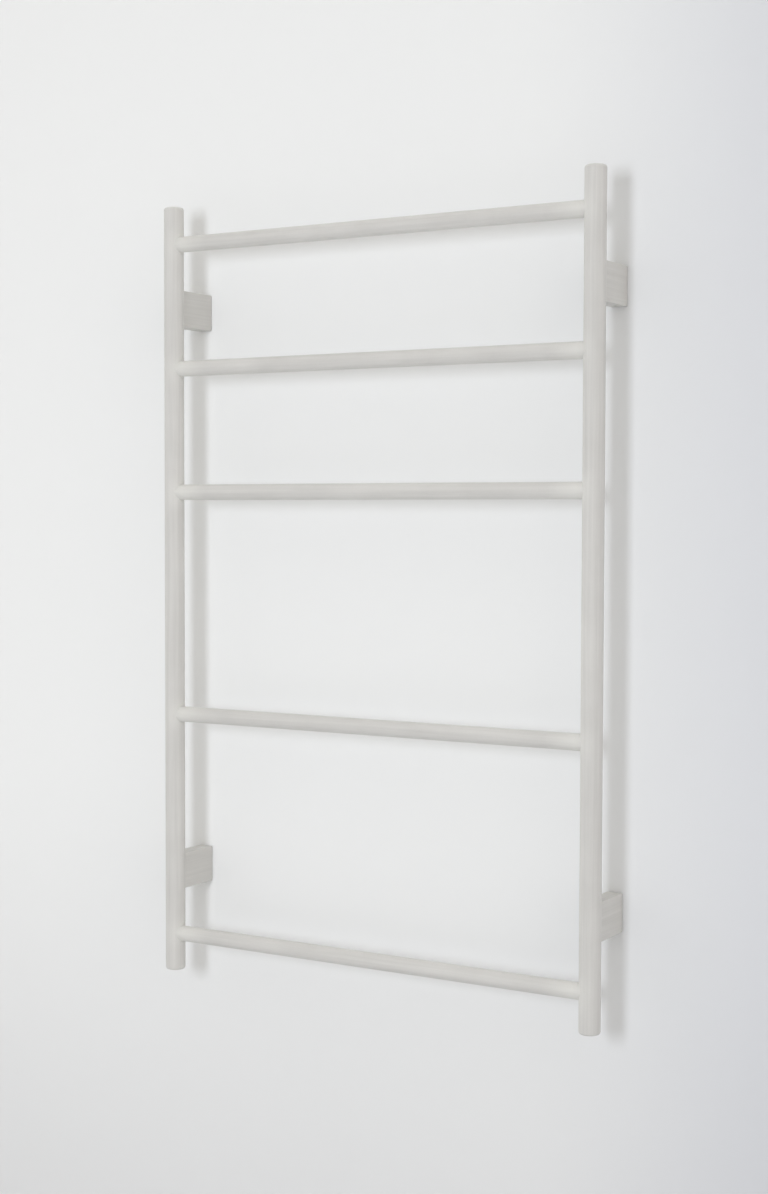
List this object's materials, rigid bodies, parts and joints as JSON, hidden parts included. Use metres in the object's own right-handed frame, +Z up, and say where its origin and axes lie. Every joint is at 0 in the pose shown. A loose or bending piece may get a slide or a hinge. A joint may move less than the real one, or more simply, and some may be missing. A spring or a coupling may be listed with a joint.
{
  "type": "towel warmer rack",
  "caption": "Wall-mounted electric towel warmer: a ladder of round powder-coated tube held off the wall by hollow block brackets, with a heating cable run through every rung.",
  "frame": {"origin": "on the wall plane, at the centre of the four wall-screw holes", "axes": "+X along the rungs to the right as seen from the room, +Y into the wall, +Z up"},
  "size_m": [0.678, 0.089, 1.083],
  "materials": {
    "powder_coat": "matt pale warm grey powder coat on steel tube",
    "steel_plain": "zinc-plated steel",
    "steel_dark": "blackened high-tensile steel",
    "silicone": "red-brown silicone sheath",
    "rubber_black": "black rubber",
    "copper_cores": "brown core insulation",
    "nylon": "off-white moulded nylon",
    "brass": "plain brass",
    "earth_insulation": "green-yellow insulation"
  },
  "bodies": {
    "root": {"post_left": "powder_coat", "post_right": "powder_coat", "cap_top_left": "powder_coat", "cap_top_right": "powder_coat", "cap_bottom_left": "powder_coat", "cap_bottom_right": "powder_coat", "rung_1": "powder_coat", "rung_2": "powder_coat", "rung_3": "powder_coat", "rung_4": "powder_coat", "rung_5": "powder_coat", "bracket_upper_left": "powder_coat", "bracket_upper_right": "powder_coat", "bracket_lower_left": "powder_coat", "bracket_lower_right": "powder_coat", "anchor_upper_left": "steel_plain", "anchor_upper_right": "steel_plain", "anchor_lower_left": "steel_plain", "anchor_lower_right": "steel_plain", "nut_plates": "steel_plain", "bracket_bolts": "steel_dark", "grub_screws": "steel_dark", "heating_cable": "silicone", "cable_end_seal": "rubber_black", "cable_joint": "rubber_black", "overheat_cutout": "steel_plain", "inlet_lead": "rubber_black", "lead_cores": "copper_cores", "lead_bush": "rubber_black", "terminal_block": "nylon", "terminal_screws": "brass", "earth_tag": "steel_plain", "earth_wire": "earth_insulation", "supply_grommet": "rubber_black"}
  },
  "joints": []
}
